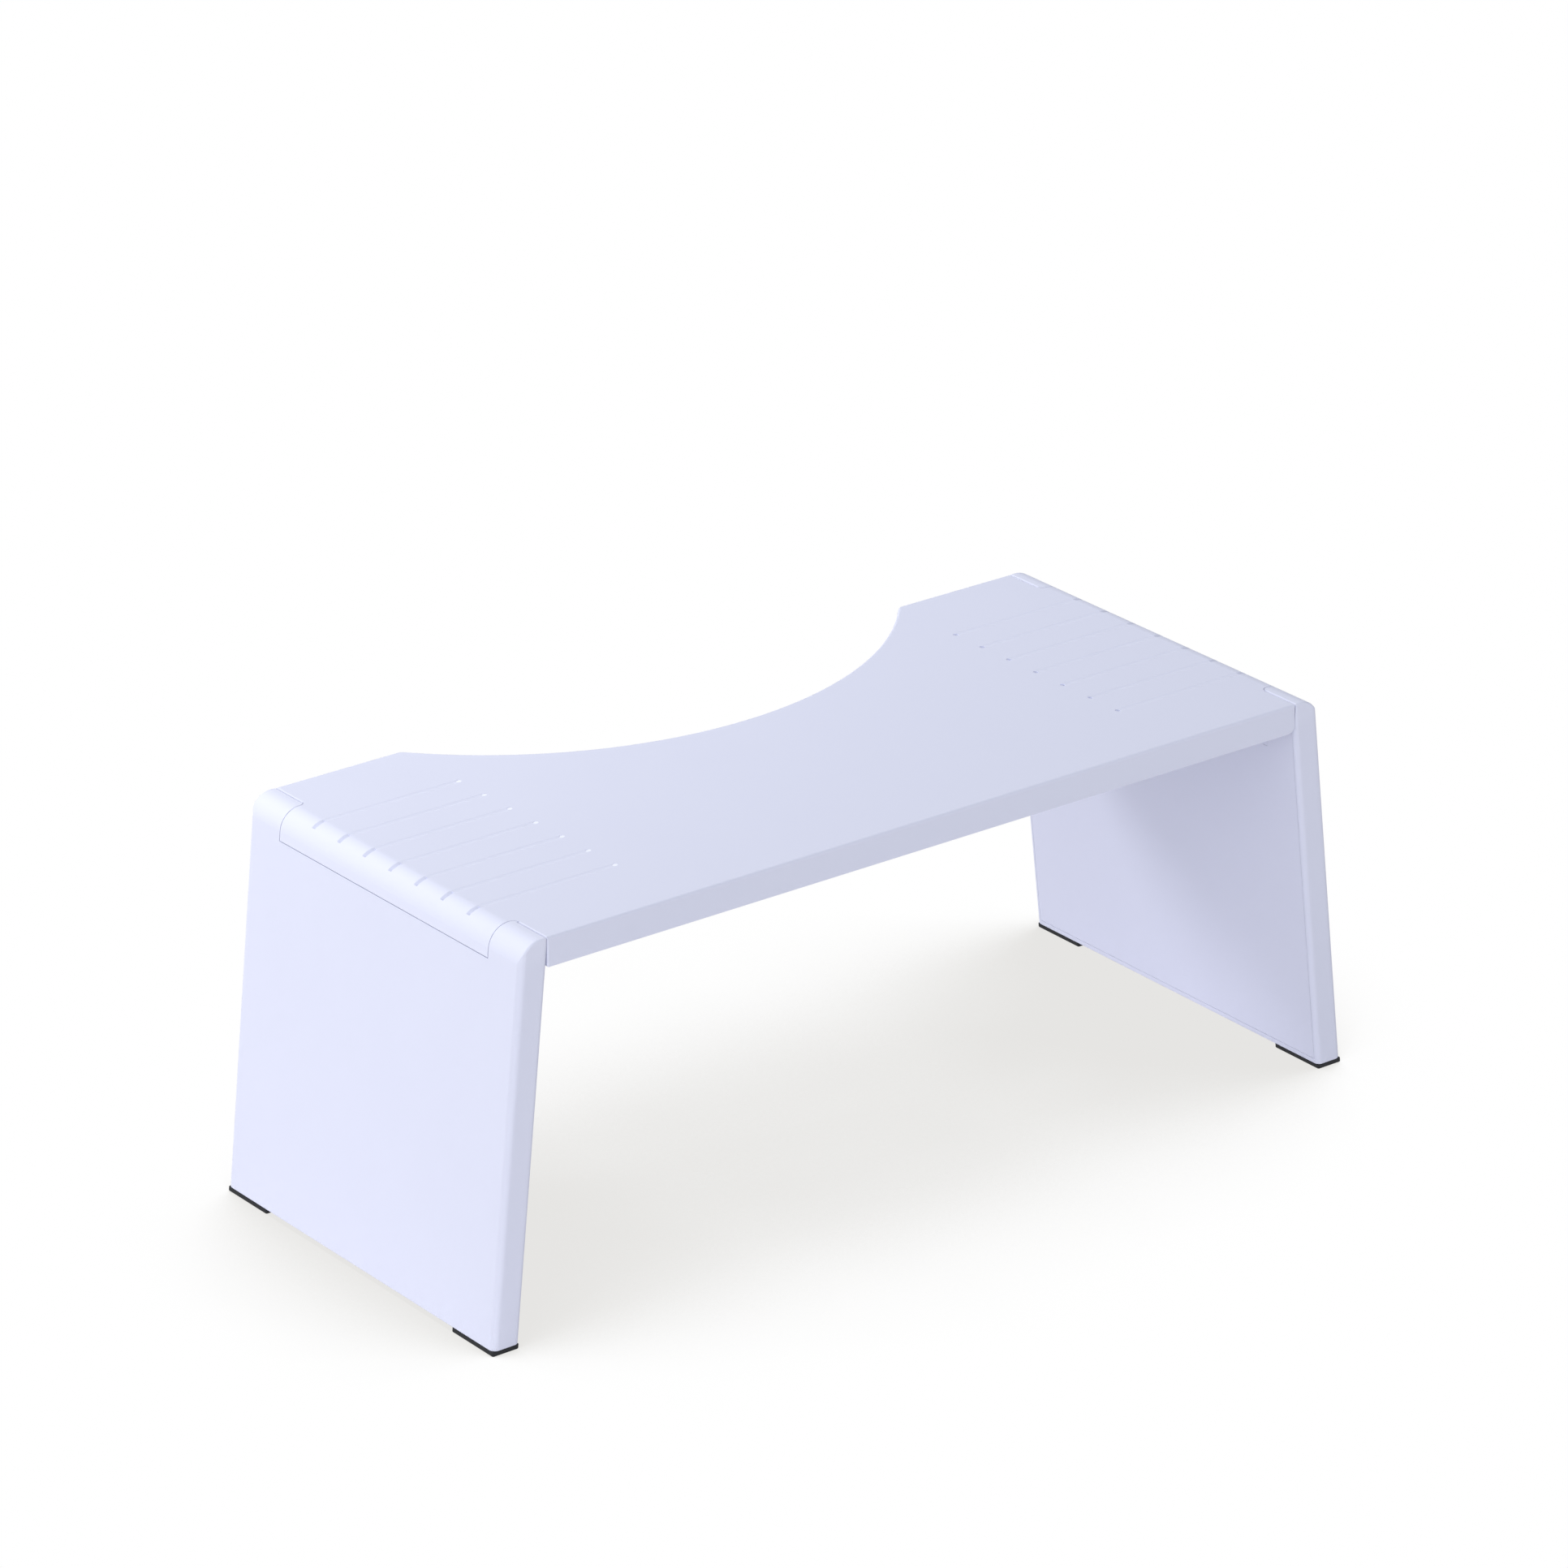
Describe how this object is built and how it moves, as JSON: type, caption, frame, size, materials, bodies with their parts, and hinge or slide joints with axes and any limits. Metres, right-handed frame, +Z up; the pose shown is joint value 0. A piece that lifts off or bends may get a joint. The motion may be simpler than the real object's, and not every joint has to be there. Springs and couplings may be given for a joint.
{
  "type": "toilet footstool",
  "caption": "Folding plastic footstool with a curved rear cut-out, grooved deck and two splayed legs that fold flat on hidden rods.",
  "frame": {"origin": "on the floor, under the middle of the open stool", "axes": "+X along the stool's length, +Y towards the rear edge with the curved cut-out, +Z up"},
  "size_m": [0.4568, 0.195, 0.178],
  "materials": {
    "deck_plastic": "moulded polypropylene, fine matt texture on the tread, smooth on the rounded ends",
    "leg_plastic": "moulded polypropylene, fine matt texture",
    "bar_steel": "zinc plated tube",
    "rod_steel": "drawn bright bar",
    "screw_steel": "zinc plated",
    "foot_rubber": "moulded, matt"
  },
  "bodies": {
    "deck": {"deck_top_shell": "deck_plastic", "deck_bottom_cover": "deck_plastic", "front_deck_bar": "bar_steel", "rear_deck_bar": "bar_steel", "deck_screws": "screw_steel"},
    "left_leg": {"left_leg_outer_shell": "leg_plastic", "left_leg_inner_cover": "leg_plastic", "left_hinge_rod": "rod_steel", "front_left_foot": "foot_rubber", "rear_left_foot": "foot_rubber"},
    "right_leg": {"right_leg_outer_shell": "leg_plastic", "right_leg_inner_cover": "leg_plastic", "right_hinge_rod": "rod_steel", "front_right_foot": "foot_rubber", "rear_right_foot": "foot_rubber"}
  },
  "joints": [
    {"name": "left_leg_fold", "type": "hinge", "parent": "deck", "child": "left_leg", "pos_m": [-0.203, 0, 0.1588], "axis": [0, -1, 0], "range_deg": [0, 96.5]},
    {"name": "right_leg_fold", "type": "hinge", "parent": "deck", "child": "right_leg", "pos_m": [0.203, 0, 0.1588], "axis": [0, 1, 0], "range_deg": [0, 96.5]}
  ]
}
